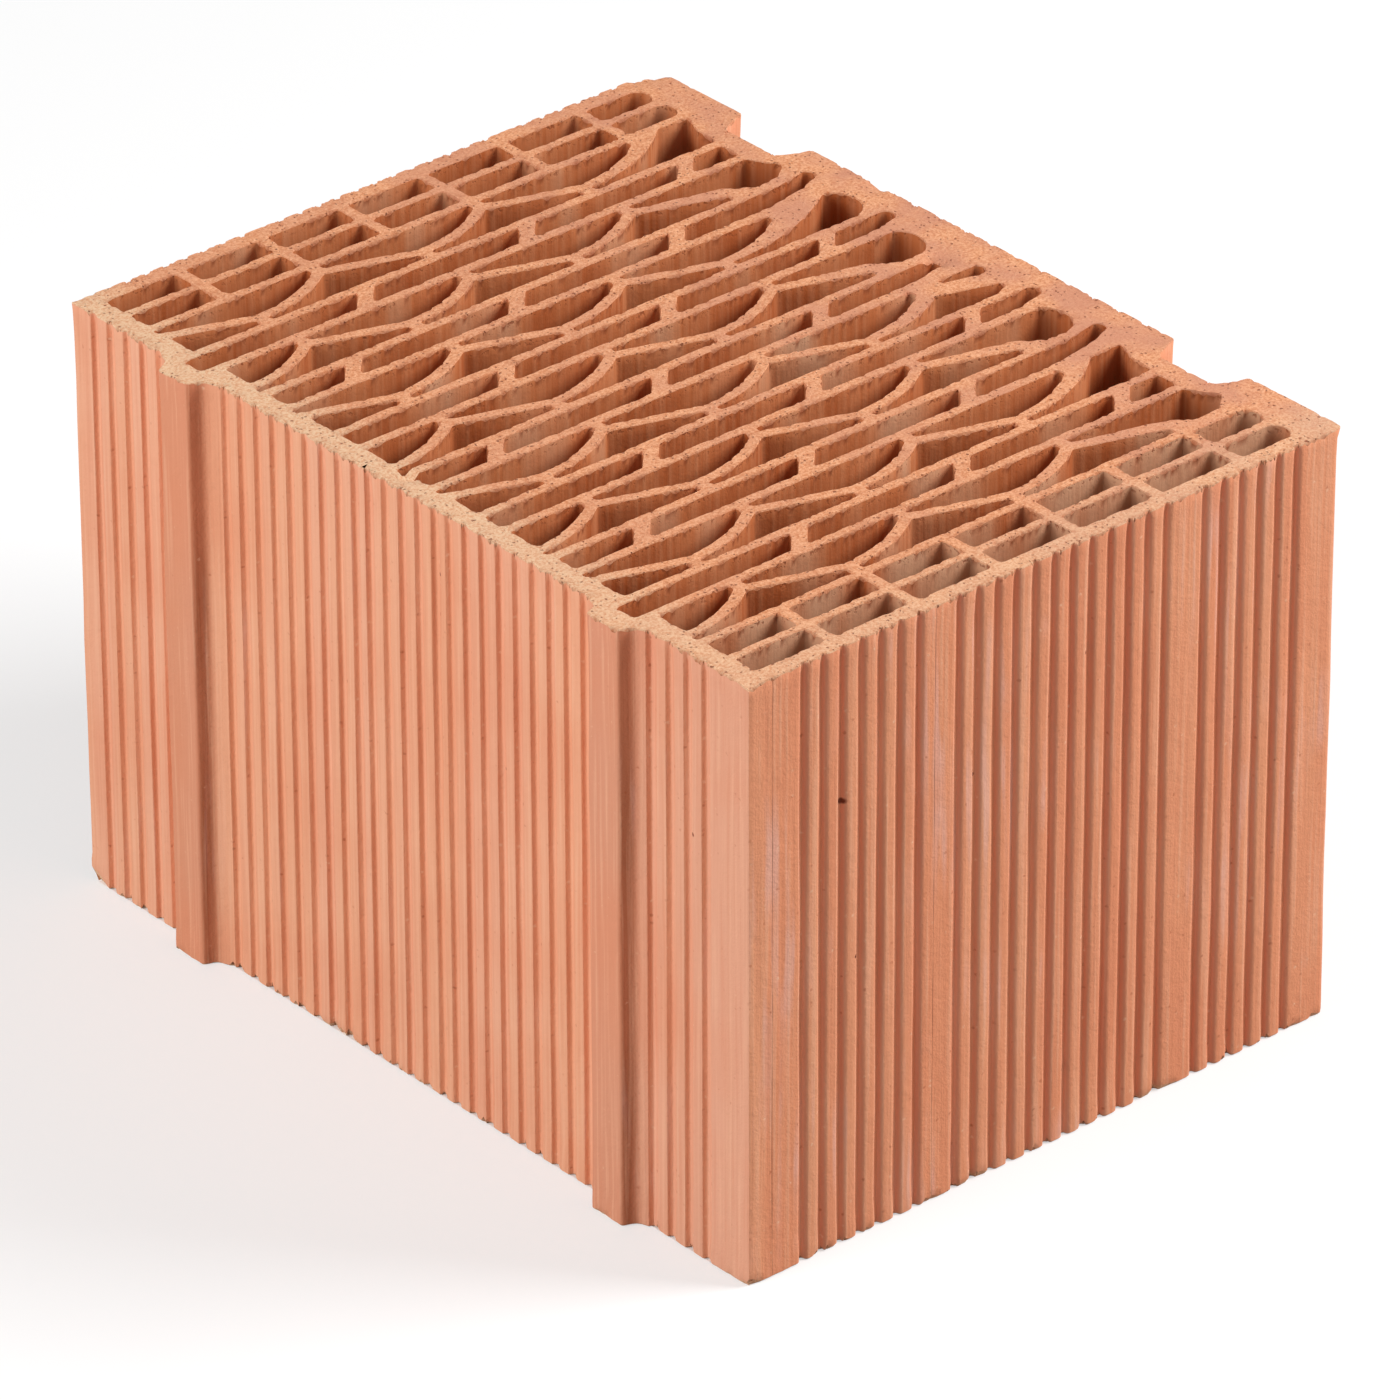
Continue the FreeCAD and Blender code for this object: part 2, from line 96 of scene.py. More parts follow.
for comb_floor in comb_floors:
    start, stop = comb_floor, comb_floor + 1
    while sizes[start - 1] < ARC_STEP:
        start -= 1
    while sizes[stop] < ARC_STEP:
        stop += 1
    start -= int(abs(steps[start - 1][0]) > STRAIGHT * sizes[start - 1])
    stop += int(abs(steps[stop][0]) > STRAIGHT * sizes[stop])
    across = outer[stop] - outer[start]
    inward = np.array((-across[1], across[0])) / np.linalg.norm(across)
    redrawn += list(outer[done:start])
    redrawn += [outer[start] + across * t + inward * TOOTH_DEPTH * deep for t, deep in TOOTH]
    done = stop
loops[0] = np.array(redrawn + list(outer[done:]))

# Corners that turn less than SMOOTH_TURN are points of a curve, and those past SHARP_TURN are sharp.
SMOOTH_TURN, SHARP_TURN, SIDE_SHARE = 0.35, 1.0, 0.45
OUTLINE_RADII, HOLE_RADII = (1.2, 3.2), (1.6, 1.6)
CLOSEST, SPACING = 0.55, 1.8


def eased(loop, sharp, blunt):
    """The closed loop with sharp and blunt corners rounded, points on curves thinned and sides divided."""
    rounded = []
    for i, here in enumerate(loop):
        into, out = here - loop[i - 1], loop[(i + 1) % len(loop)] - here
        size_in, size_out = np.linalg.norm(into), np.linalg.norm(out)
        turn = abs(math.atan2(cross(into, out), into @ out))
        if turn < SMOOTH_TURN:
            if not rounded or np.linalg.norm(here - rounded[-1]) > CLOSEST:
                rounded.append(here)
            continue
        radius = sharp if turn > SHARP_TURN else blunt
        cut = min(radius * math.tan(turn / 2), SIDE_SHARE * size_in, SIDE_SHARE * size_out)
        first, last = here - into / size_in * cut, here + out / size_out * cut
        rounded += [first, 0.25 * first + 0.5 * here + 0.25 * last, last]
    points = []
    for a, b in zip(rounded, rounded[1:] + rounded[:1]):
        parts = max(1, math.ceil(np.linalg.norm(b - a) / SPACING))
        points += [a + (b - a) * k / parts for k in range(parts)]
    return np.array(points)


def rough(x, y, size, seed):
    """Smooth noise from -1 to 1 with lumps of this size."""
    return noise.noise(Vector((x / size, y / size, seed)))


# Crumbled places on the wire-cut face and along the foot, as x, y, radius and depth.
CRUMBS = [(-131.0, 6.0, 5.0, 3.0), (124.0, 4.0, 7.0, 2.0), (-139.5, -190.0, 6.0, 1.2),
          (-147.0, 126.0, 7.0, 1.0), (147.0, 62.0, 6.0, 1.6), (139.0, 188.0, 8.0, 1.5)]
FOOT_CRUMBS = [(-139.5, 190.0, 10.0, 5.0), (60.0, -190.0, 12.0, 1.6), (-140.0, 40.0, 14.0, 1.2),
               (-139.5, -190.0, 6.0, 1.5), (-30.0, -190.0, 9.0, 1.4)]


def crumbled(x, y, places):
    """How deep the clay has broken away here."""
    return sum(deep * max(0.0, 1 - ((x - cx) ** 2 + (y - cy) ** 2) / size ** 2)
               for cx, cy, size, deep in places)


# Each loop becomes a wall of upright columns of points, from the wire-cut rim at the top to the foot.
# A rim has a lip on the cut face and an edge under it, both set back into the clay and deeper at a nick.
NICK_CHANCE, NICK_LEAST, NICK_FADE = 0.22, 0.4, 0.25
LIP_BACK, LIP_WAVE, LIP_GRIT, LIP_NICK, LIP_CRUMB, LIP_CRUMB_MOST = 0.34, 0.2, 0.14, 0.5, 0.3, 0.8
TOP_DIP, TOP_NICK = 0.12, 0.2
EDGE_DOWN, EDGE_WAVE, EDGE_NICK = 0.45, 0.2, 1.4
SIDE_BACK, SIDE_WAVE, SIDE_NICK = 0.1, 0.1, 0.2
# Below it comes the drawn skin. On the outer faces it wanders a little as the clay slid through the die.
SKIN_BACK, SKIN_CLEAR, SKIN_DOWN = 0.12, 1.5, 4.5
WANDER_BACK, WANDER, WANDER_STRETCH = 0.36, 0.34, 5
drawn_heights = np.linspace(236.0, 12.0, 13)
# The foot has a rounded, chipped edge.
CHIP_CHANCE, CHIP_LEAST, CHIP_FADE, CHIP_UP = 0.09, 0.3, 0.5, 2.0
FOOT_UP, FOOT_WAVE, FOOT_SKIN, FOOT_BACK, UNDER_BACK, UNDER_SLANT = 0.7, 0.3, 3.3, 0.15, 0.6, 0.4
# The wire drags a lip of clay over the comb's grooves, out towards the plane of the ribs on each side.
RIB_PLANES = ((-1, 0, 139.5), (1, 0, 147.5), (0, -1, 190.0), (0, 1, 190.0))
DRAG_SHARE, DRAG_REACH, DRAG_EDGE = 0.6, 3.2, 0.8

CUT, COMBED, SLOT_WALL = 0, 1, 2
dice = random.Random(7)
vertices, wear, faces, finish_of, top_rim, foot_rim, walls = [], [], [], [], [], [], []
for number, loop in enumerate(loops):
    outside = number == 0
    points = eased(loop, *(OUTLINE_RADII if outside else HOLE_RADII))
    along = np.roll(points, -1, 0) - np.roll(points, 1, 0)
    along /= np.linalg.norm(along, axis=1)[:, None]
    inward = np.stack([-along[:, 1], along[:, 0]], 1)
    nick = chip = 0.0
    columns = []
    for (x, y), (nx, ny) in zip(points, inward):
        nick = dice.uniform(NICK_LEAST, 1.0) if dice.random() < NICK_CHANCE else nick * NICK_FADE
        chip = dice.uniform(CHIP_LEAST, 1.0) if dice.random() < CHIP_CHANCE else chip * CHIP_FADE
        gone = crumbled(x, y, CRUMBS)
        lip = LIP_BACK + LIP_WAVE * rough(x, y, 3.2, 1.0) + LIP_GRIT * rough(x, y, 1.1, 2.0) + LIP_NICK * nick
        lip += min(LIP_CRUMB_MOST, LIP_CRUMB * gone)
        top = HEIGHT - gone - TOP_DIP * abs(rough(x, y, 4.0, 3.0)) - TOP_NICK * nick
        edge = top - EDGE_DOWN - EDGE_WAVE * rough(x, y, 1.9, 4.0) - EDGE_NICK * nick
        side = SIDE_BACK + SIDE_WAVE * rough(x, y, 1.9, 6.0) + SIDE_NICK * nick
        skin = min(edge - SKIN_CLEAR, HEIGHT - SKIN_DOWN)
        foot = FOOT_UP + FOOT_WAVE * rough(x, y, 2.6, 7.0) + crumbled(x, y, FOOT_CRUMBS)
        foot += CHIP_UP * chip if outside else 0
        column = [(lip, top, 0.3 * nick), (side, edge, nick), (SKIN_BACK, skin, 0.0)]
        if outside:
            column += [(WANDER_BACK + WANDER * rough(x - y, z / WANDER_STRETCH, 8.0, 9.0), z, 0.0)
                       for z in drawn_heights]
        column += [(SKIN_BACK, foot + FOOT_SKIN, 0.0), (FOOT_BACK, foot, chip),
                   (UNDER_BACK + UNDER_SLANT * foot, 0.0, 0.0)]
        over = np.zeros(2)
        for px, py, plane in RIB_PLANES if outside else ():
            sunk = plane - px * x - py * y
            if 0 < sunk < DRAG_REACH:
                over += np.array((px, py)) * DRAG_SHARE * sunk * (1 - (sunk / DRAG_REACH) ** 4)
        dragged = [1.0, DRAG_EDGE] + [0.0] * (len(column) - 2)
        columns.append(range(len(vertices), len(vertices) + len(column)))
        vertices += [(x + nx * back + over[0] * share, y + ny * back + over[1] * share, z)
                     for (back, z, _), share in zip(column, dragged)]
        wear += [worn for _, _, worn in column]
    for here, beside in zip(columns, columns[1:] + columns[:1]):
        for level in range(len(here) - 1):
            faces.append((here[level + 1], beside[level + 1], beside[level], here[level]))
            at_rim = level in (0, len(here) - 2)
            finish_of.append(CUT if at_rim else COMBED if outside else SLOT_WALL)
    walls.append((len(top_rim), len(top_rim) + len(columns)))
    top_rim += [column[0] for column in columns]
    foot_rim += [column[-1] for column in columns]

# Points across the cut face, away from every edge, so that it is not dead flat.
SPOT_GRID, SPOT_JITTER, SPOT_CLEAR, SPOT_X, SPOT_Y = 3.4, 0.8, 1.25, -146, -189
SPOT_DOWN, SPOT_DIP = 0.05, 0.16
near = kdtree.KDTree(len(top_rim))
for i, corner in enumerate(top_rim):
    near.insert((*vertices[corner][:2], 0), i)
near.balance()
spots = []
for row in range(int(WALL_THICKNESS / SPOT_GRID)):
    for column in range(int(BLOCK_LENGTH / SPOT_GRID)):
        x = SPOT_X + SPOT_GRID * (column + 0.5 * (row % 2)) + dice.uniform(-SPOT_JITTER, SPOT_JITTER)
        y = SPOT_Y + SPOT_GRID * row + dice.uniform(-SPOT_JITTER, SPOT_JITTER)
        if near.find((x, y, 0))[2] > SPOT_CLEAR:
            spots.append((x, y))

# The cut face and the foot are filled with triangles between the rims.
edges = [(i, i + 1 if i + 1 < last else first) for first, last in walls for i in range(first, last)]
rim = set(edges)
for corners, more in ((top_rim, spots), (foot_rim, [])):
    flat = [Vector(vertices[k][:2]) for k in corners] + [Vector(p) for p in more]
    out, _, triangles, source, _, _ = geometry.delaunay_2d_cdt(flat, edges, [], 1, 1e-4)
    # A triangle left of a rim edge is clay, one right of it is hole, and the rest follow their neighbours.
    sides, clay, queue = {}, {}, []
    for t, (a, b, c) in enumerate(triangles):
        for i, j in ((a, b), (b, c), (c, a)):
            start, stop = min(source[i] or [-1]), min(source[j] or [-1])
            if (start, stop) in rim or (stop, start) in rim:
                clay[t] = (start, stop) in rim
                queue.append(t)
            else:
                sides.setdefault(frozenset((i, j)), []).append(t)
    while queue:
        t = queue.pop()
        a, b, c = triangles[t]
        for i, j in ((a, b), (b, c), (c, a)):
            for beside in sides.get(frozenset((i, j)), []):
                if beside not in clay:
                    clay[beside] = clay[t]
                    queue.append(beside)
    triangles = [triangle for t, triangle in enumerate(triangles) if clay.get(t)]
    place = {}
    for k in sorted({k for triangle in triangles for k in triangle}):
        if source[k] and min(source[k]) < len(corners):
            place[k] = corners[min(source[k])]
            continue
        x, y = out[k]
        place[k] = len(vertices)
        worn = HEIGHT - crumbled(x, y, CRUMBS) - SPOT_DOWN - SPOT_DIP * abs(rough(x, y, 5.0, 8.0))
        vertices.append((x, y, worn if more else 0.0))
        wear.append(0.0)
    for triangle in triangles:
        ring = [place[k] for k in triangle]
        faces.append(ring if more else ring[::-1])
        finish_of.append(CUT)

CREASE = 38
mesh = bpy.data.meshes.new("fired_clay_block")
mesh.from_pydata([(x / MM, y / MM, z / MM) for x, y, z in vertices], [], faces)
mesh.polygons.foreach_set("material_index", finish_of)
mesh.polygons.foreach_set("use_smooth", [True] * len(faces))
mesh.set_sharp_from_angle(angle=math.radians(CREASE))
mesh.attributes.new("wear", "FLOAT", "POINT").data.foreach_set("value", wear)
block = bpy.data.objects.new("fired_clay_block", mesh)
bpy.context.scene.collection.objects.link(block)
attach(block, "root")
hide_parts("hollow_clay_block")


def linear(hex_colour):
    """sRGB hex to the linear colour that shaders take."""
    parts = [int(hex_colour[k:k + 2], 16) / 255 for k in (1, 3, 5)]
    return [c / 12.92 if c <= 0.04045 else ((c + 0.055) / 1.055) ** 2.4 for c in parts] + [1.0]


def add(tree, kind, links=None, **settings):
    """A shader node with its settings, its socket values and the sockets that feed it.

    Map Range takes its old range as 1 and 2 and its new one as 3 and 4, Mix its share as 0 and its colours
    as 6 and 7.
    """
    node = tree.nodes.new("ShaderNode" + kind)
    for name, value in settings.items():
        setattr(node, name, value)
    for socket, value in (links or {}).items():
        if isinstance(value, bpy.types.NodeSocket):
            tree.links.new(value, node.inputs[socket])
        else:
            node.inputs[socket].default_value = value
    return node


# Wire-cut fired clay: the wire drags grit over the wet clay, so the face is matt and sandy, with brown
# pores, reddish pits where grit tore out of the rims and a dusty cream film along the tongue face and the
# front. Sand of about half a millimetre and its pores are drawn two or three times as coarse, to show.
cut_clay = bpy.data.materials.new("wire_cut_fired_clay")
cut_clay.use_nodes = True
tree = cut_clay.node_tree
shader = tree.nodes["Principled BSDF"]
shader.inputs["Roughness"].default_value = 0.92
shader.inputs["IOR"].default_value = 1.5
shader.inputs["Specular IOR Level"].default_value = 0.25
where = add(tree, "TexCoord").outputs["Object"]
axes = add(tree, "SeparateXYZ", {"Vector": where})
grit = add(tree, "TexNoise", {"Vector": where, "Scale": MM / 1.1, "Detail": 3.0, "Roughness": 0.65})
patch = add(tree, "TexNoise", {"Vector": where, "Scale": MM / 24, "Detail": 2.0})
sandy = add(tree, "MapRange", {"Value": grit.outputs["Fac"], 1: 0.36, 2: 0.64})
colour = add(tree, "Mix", {0: sandy.outputs["Result"], 6: linear("#CF8459"), 7: linear("#EFB087")},
             data_type="RGBA")
# Pinker patches, more of them towards the groove face.
MIDDLE_X, GROOVE_SIDE_X = -50 / MM, 130 / MM
pinker = add(tree, "MapRange", {"Value": axes.outputs["X"], 1: MIDDLE_X, 2: GROOVE_SIDE_X, 3: 0.25, 4: 0.75})
pink = add(tree, "MapRange", {"Value": patch.outputs["Fac"], 1: 0.38, 2: 0.62})
pink = add(tree, "Math", {0: pink.outputs["Result"], 1: pinker.outputs["Result"]}, operation="MULTIPLY")
colour = add(tree, "Mix", {0: pink.outputs["Value"], 6: colour.outputs[2], 7: linear("#CA8A6F")},
             data_type="RGBA")
# The film lies along the tongue face, thinner at its near end, and more faintly along the front.
FILM_X, FILM_END_X = -131 / MM, -112 / MM
NEAR_END_Y, FULL_FILM_Y = -190 / MM, -30 / MM
FRONT_FILM_Y, FRONT_FILM_END_Y = -178 / MM, -160 / MM
film = add(tree, "MapRange", {"Value": axes.outputs["X"], 1: FILM_X, 2: FILM_END_X, 3: 0.85, 4: 0.0})
thin = add(tree, "MapRange", {"Value": axes.outputs["Y"], 1: NEAR_END_Y, 2: FULL_FILM_Y, 3: 0.6, 4: 1.0})
film = add(tree, "Math", {0: film.outputs["Result"], 1: thin.outputs["Result"]}, operation="MULTIPLY")
front = add(tree, "MapRange", {"Value": axes.outputs["Y"], 1: FRONT_FILM_Y, 2: FRONT_FILM_END_Y,
                               3: 0.45, 4: 0.0})
film = add(tree, "Math", {0: film.outputs["Value"], 1: front.outputs["Result"]}, operation="MAXIMUM")
uneven = add(tree, "MapRange", {"Value": grit.outputs["Fac"], 1: 0.38, 2: 0.6, 3: 0.35, 4: 1.0})
dusty = add(tree, "Math", {0: film.outputs["Value"], 1: uneven.outputs["Result"]}, operation="MULTIPLY")
colour = add(tree, "Mix", {0: dusty.outputs["Value"], 6: colour.outputs[2], 7: linear("#E6C4A0")},
             data_type="RGBA")
# Small and large pores with crooked edges, and the pits along the rims.
CROOKED = 1.4 / MM
crooked = add(tree, "TexNoise", {"Vector": where, "Scale": MM / 1.5, "Detail": 1.0})
moved = add(tree, "VectorMath", {0: crooked.outputs["Color"], 1: (CROOKED, CROOKED, CROOKED), 2: where},
            operation="MULTIPLY_ADD")
pores = []
for spacing, small, large, few in ((1.9, 0.13, 0.30, 0.5), (5.5, 0.08, 0.14, 0.5)):
    pore = add(tree, "TexVoronoi", {"Vector": moved.outputs["Vector"], "Scale": MM / spacing})
    pick = add(tree, "SeparateColor", {"Color": pore.outputs["Color"]})
    dot = add(tree, "MapRange", {"Value": pore.outputs["Distance"], 1: small, 2: large, 3: 0.8, 4: 0.0})
    chosen = add(tree, "MapRange", {"Value": pick.outputs["Red"], 1: few, 2: few + 0.2})
    pores.append(add(tree, "Math", {0: dot.outputs["Result"], 1: chosen.outputs["Result"]},
                     operation="MULTIPLY").outputs["Value"])
dark = add(tree, "Math", {0: pores[0], 1: pores[1]}, operation="MAXIMUM")
torn = add(tree, "Attribute", attribute_name="wear")
pitted = add(tree, "Math", {0: torn.outputs["Fac"], 1: 0.85}, operation="MULTIPLY", use_clamp=True)
colour = add(tree, "Mix", {0: pitted.outputs["Value"], 6: colour.outputs[2], 7: linear("#9C4F2C")},
             data_type="RGBA")
colour = add(tree, "Mix", {0: dark.outputs["Value"], 6: colour.outputs[2], 7: linear("#85442A")},
             data_type="RGBA")
tree.links.new(colour.outputs[2], shader.inputs["Base Color"])
relief = add(tree, "Math", {0: grit.outputs["Fac"], 1: dark.outputs["Value"]}, operation="SUBTRACT")
bump = add(tree, "Bump", {"Height": relief.outputs["Value"], "Strength": 0.8, "Distance": 0.6 / MM})
tree.links.new(bump.outputs["Normal"], shader.inputs["Normal"])

# Combed fired clay: the die polishes the skin and its teeth comb it, so the outer faces are smoother,
# salmon coloured, with upright drag lines, peach and pink bands and a few pinholes. The drag lines are
# under half a millimetre wide on the real skin and are drawn coarser, to show.
combed_clay = bpy.data.materials.new("combed_fired_clay")
combed_clay.use_nodes = True
tree = combed_clay.node_tree
shader = tree.nodes["Principled BSDF"]
shader.inputs["Roughness"].default_value = 0.8
shader.inputs["IOR"].default_value = 1.5
shader.inputs["Specular IOR Level"].default_value = 0.3
where = add(tree, "TexCoord").outputs["Object"]
axes = add(tree, "SeparateXYZ", {"Vector": where})
drawn = add(tree, "Mapping", {"Vector": where, "Scale": (1.0, 1.0, 0.02)})
drag = add(tree, "TexNoise", {"Vector": drawn.outputs["Vector"], "Scale": MM / 1.6, "Detail": 2.0})
bands = add(tree, "TexNoise", {"Vector": drawn.outputs["Vector"], "Scale": MM / 16, "Detail": 1.0})
grain = add(tree, "TexNoise", {"Vector": where, "Scale": MM / 1.0, "Detail": 3.0, "Roughness": 0.6})
cloud = add(tree, "TexNoise", {"Vector": where, "Scale": MM / 70, "Detail": 3.0})
# The tongue and groove faces are painted paler than the front and back. This is painted light for the
# stronger light on the tongue face; the clay is the same colour all round.
facing = add(tree, "SeparateXYZ", {"Vector": add(tree, "TexCoord").outputs["Normal"]})
joint = add(tree, "Math", {0: facing.outputs["X"], 1: facing.outputs["X"]}, operation="MULTIPLY")
bare = add(tree, "Math", {0: 1.0, 1: joint.outputs["Value"]}, operation="SUBTRACT")
colour = add(tree, "Mix", {0: joint.outputs["Value"], 6: linear("#E49169"), 7: linear("#E8A787")},
             data_type="RGBA")
warm = add(tree, "MapRange", {"Value": bands.outputs["Fac"], 1: 0.38, 2: 0.62, 3: 0.0, 4: 0.45})
colour = add(tree, "Mix", {0: warm.outputs["Result"], 6: colour.outputs[2], 7: linear("#E8A47C")},
             data_type="RGBA")
# The tongues are browner, partly their own colour and partly painted shade for their flanks, and their near
# end is pinker. Their flanks are painted darkest, as painted shade for the shadow that falls on them.
TONGUE_FOOT_X, TONGUE_SKIN_X = -140.2 / MM, -143 / MM
FLANK_FOOT_X, FLANK_X = -140 / MM, -141.2 / MM
PLAIN_Y, PINK_Y = -100 / MM, -160 / MM
tongue = add(tree, "MapRange", {"Value": axes.outputs["X"], 1: TONGUE_FOOT_X, 2: TONGUE_SKIN_X,
                                3: 0.0, 4: 0.6})
colour = add(tree, "Mix", {0: tongue.outputs["Result"], 6: colour.outputs[2], 7: linear("#C97E5E")},
             data_type="RGBA")
pinker = add(tree, "MapRange", {"Value": axes.outputs["Y"], 1: PLAIN_Y, 2: PINK_Y, 3: 0.0, 4: 0.5})
pink = add(tree, "Math", {0: pinker.outputs["Result"], 1: joint.outputs["Value"]}, operation="MULTIPLY")
colour = add(tree, "Mix", {0: pink.outputs["Value"], 6: colour.outputs[2], 7: linear("#D6987F")},
             data_type="RGBA")
# Painted shade: the tongues' flanks, which face the front and back, are darkened for the shadow on them.
painted_flank_shade = add(tree, "MapRange", {"Value": axes.outputs["X"], 1: FLANK_FOOT_X, 2: FLANK_X, 3: 0.0, 4: 0.8})
painted_flank_shade = add(tree, "Math", {0: painted_flank_shade.outputs["Result"], 1: bare.outputs["Value"]}, operation="MULTIPLY")
colour = add(tree, "Mix", {0: painted_flank_shade.outputs["Value"], 6: colour.outputs[2], 7: linear("#A25E3D")},
             data_type="RGBA")
# Clouds of deeper colour, then light and dark drag lines.
clouded = add(tree, "MapRange", {"Value": cloud.outputs["Fac"], 1: 0.42, 2: 0.7, 3: 0.0, 4: 0.4})
colour = add(tree, "Mix", {0: clouded.outputs["Result"], 6: colour.outputs[2], 7: linear("#DB8661")},
             data_type="RGBA")
for low, high, amount, tint in ((0.52, 0.68, 0.34, "#F0B795"), (0.47, 0.33, 0.26, "#D58462")):
    lined = add(tree, "MapRange", {"Value": drag.outputs["Fac"], 1: low, 2: high, 3: 0.0, 4: amount})
    colour = add(tree, "Mix", {0: lined.outputs["Result"], 6: colour.outputs[2], 7: linear(tint)},
                 data_type="RGBA")
# Faint streaks of lime on the front and back.
lime = add(tree, "Mapping", {"Vector": where, "Scale": (1.0, 1.0, 0.05)})
lime = add(tree, "TexNoise", {"Vector": lime.outputs["Vector"], "Scale": MM / 3.5, "Detail": 1.0})
lime = add(tree, "MapRange", {"Value": lime.outputs["Fac"], 1: 0.5, 2: 0.68, 3: 0.0, 4: 0.3})
lime = add(tree, "Math", {0: lime.outputs["Result"], 1: bare.outputs["Value"]}, operation="MULTIPLY")
limed = add(tree, "MapRange", {"Value": cloud.outputs["Fac"], 1: 0.5, 2: 0.36})
limed = add(tree, "Math", {0: limed.outputs["Result"], 1: lime.outputs["Value"]}, operation="MULTIPLY")
colour = add(tree, "Mix", {0: limed.outputs["Value"], 6: colour.outputs[2], 7: linear("#E6C2BC")},
             data_type="RGBA")
# Brown and pale specks of grit under the skin.
crooked = add(tree, "TexNoise", {"Vector": where, "Scale": MM / 1.5, "Detail": 1.0})
moved = add(tree, "VectorMath", {0: crooked.outputs["Color"], 1: (CROOKED, CROOKED, CROOKED), 2: where},
            operation="MULTIPLY_ADD")
speck = add(tree, "TexVoronoi", {"Vector": moved.outputs["Vector"], "Scale": MM / 3.2})
pick = add(tree, "SeparateColor", {"Color": speck.outputs["Color"]})
speck = add(tree, "MapRange", {"Value": speck.outputs["Distance"], 1: 0.08, 2: 0.26, 3: 0.55, 4: 0.0})
for few, many, tint in ((0.86, 0.97, "#A9552F"), (0.1, 0.02, "#F2C6A4")):
    chosen = add(tree, "MapRange", {"Value": pick.outputs["Red"], 1: few, 2: many})
    chosen = add(tree, "Math", {0: chosen.outputs["Result"], 1: speck.outputs["Result"]},
                 operation="MULTIPLY")
    colour = add(tree, "Mix", {0: chosen.outputs["Value"], 6: colour.outputs[2], 7: linear(tint)},
                 data_type="RGBA")
# Two broken hairlines that the die left on the front and back.
HAIRLINES_X, HAIRLINE_HALF = (-128.1 / MM, -51.2 / MM), 0.22 / MM
broken = add(tree, "TexNoise", {"Vector": where, "Scale": MM / 25, "Detail": 3.0})
broken = add(tree, "MapRange", {"Value": broken.outputs["Fac"], 1: 0.35, 2: 0.6, 3: 0.2, 4: 0.6})
first, second = [add(tree, "Math", {0: axes.outputs["X"], 1: x, 2: HAIRLINE_HALF}, operation="COMPARE")
                 for x in HAIRLINES_X]
dark = add(tree, "Math", {0: first.outputs["Value"], 1: second.outputs["Value"]}, operation="MAXIMUM")
dark = add(tree, "Math", {0: dark.outputs["Value"], 1: broken.outputs["Result"]}, operation="MULTIPLY")
# Pinholes, as place along the face, height and radius. Depth into the block counts little, so that a pinhole
# is the same on a rib and in a groove and does not show on the face behind.
SLIGHT, FRONT_Y, TONGUE_FACE_X = 0.02, -190, -140
pinholes = [((1.0, SLIGHT, 1.0), (x, FRONT_Y * SLIGHT, z), size)
            for x, z, size in ((-94.3, 184.9, 1.6), (22.2, 201.9, 1.1), (-31.1, 171.0, 1.0),
                               (-88.2, 118.8, 1.0), (13.7, 29.4, 1.1))]
pinholes += [((SLIGHT, 1.0, 1.0), (TONGUE_FACE_X * SLIGHT, y, z), size)
             for y, z, size in ((-159.6, 176.0, 1.0), (-21.0, 222.5, 0.9), (-56.0, 156.8, 0.8))]
for flat, place, size in pinholes:
    face = add(tree, "VectorMath", {0: where, 1: flat}, operation="MULTIPLY")
    away = add(tree, "VectorMath", {0: face.outputs["Vector"], 1: [p / MM for p in place]},
               operation="DISTANCE")
    pinhole = add(tree, "MapRange", {"Value": away.outputs["Value"], 1: 0.5 * size / MM, 2: size / MM,
                                     3: 1.0, 4: 0.0})
    dark = add(tree, "Math", {0: dark.outputs["Value"], 1: pinhole.outputs["Result"]}, operation="MAXIMUM")
colour = add(tree, "Mix", {0: dark.outputs["Value"], 6: colour.outputs[2], 7: linear("#6E3018")},
             data_type="RGBA")
tree.links.new(colour.outputs[2], shader.inputs["Base Color"])
lumps = add(tree, "TexNoise", {"Vector": where, "Scale": MM / 5.0, "Detail": 2.0})
fine = add(tree, "Math", {0: grain.outputs["Fac"], 1: drag.outputs["Fac"]}, operation="ADD")
fine = add(tree, "Math", {0: lumps.outputs["Fac"], 1: 1.6, 2: fine.outputs["Value"]},
           operation="MULTIPLY_ADD")
relief = add(tree, "Math", {0: fine.outputs["Value"], 1: dark.outputs["Value"]}, operation="SUBTRACT")
bump = add(tree, "Bump", {"Height": relief.outputs["Value"], "Strength": 0.4, "Distance": 0.6 / MM})
tree.links.new(bump.outputs["Normal"], shader.inputs["Normal"])

# Slot walls of the same clay: drawn through the die's cores, deeper orange where the kiln gas passed,
# with drag lines, a tan bloom that is strongest in the front cells, and torn pits just under the rim.
slot_clay = bpy.data.materials.new("slot_wall_fired_clay")
slot_clay.use_nodes = True
tree = slot_clay.node_tree
shader = tree.nodes["Principled BSDF"]
shader.inputs["Roughness"].default_value = 0.88
shader.inputs["IOR"].default_value = 1.5
shader.inputs["Specular IOR Level"].default_value = 0.25
where = add(tree, "TexCoord").outputs["Object"]
axes = add(tree, "SeparateXYZ", {"Vector": where})
drawn = add(tree, "Mapping", {"Vector": where, "Scale": (1.0, 1.0, 0.03)})
drag = add(tree, "TexNoise", {"Vector": drawn.outputs["Vector"], "Scale": MM / 2.5, "Detail": 2.0})
cloud = add(tree, "TexNoise", {"Vector": drawn.outputs["Vector"], "Scale": MM / 30, "Detail": 2.0})
grain = add(tree, "TexNoise", {"Vector": where, "Scale": MM / 1.2, "Detail": 3.0})
mixed = add(tree, "MapRange", {"Value": cloud.outputs["Fac"], 1: 0.36, 2: 0.6})
colour = add(tree, "Mix", {0: mixed.outputs["Result"], 6: linear("#A9572A"), 7: linear("#C07244")},
             data_type="RGBA")
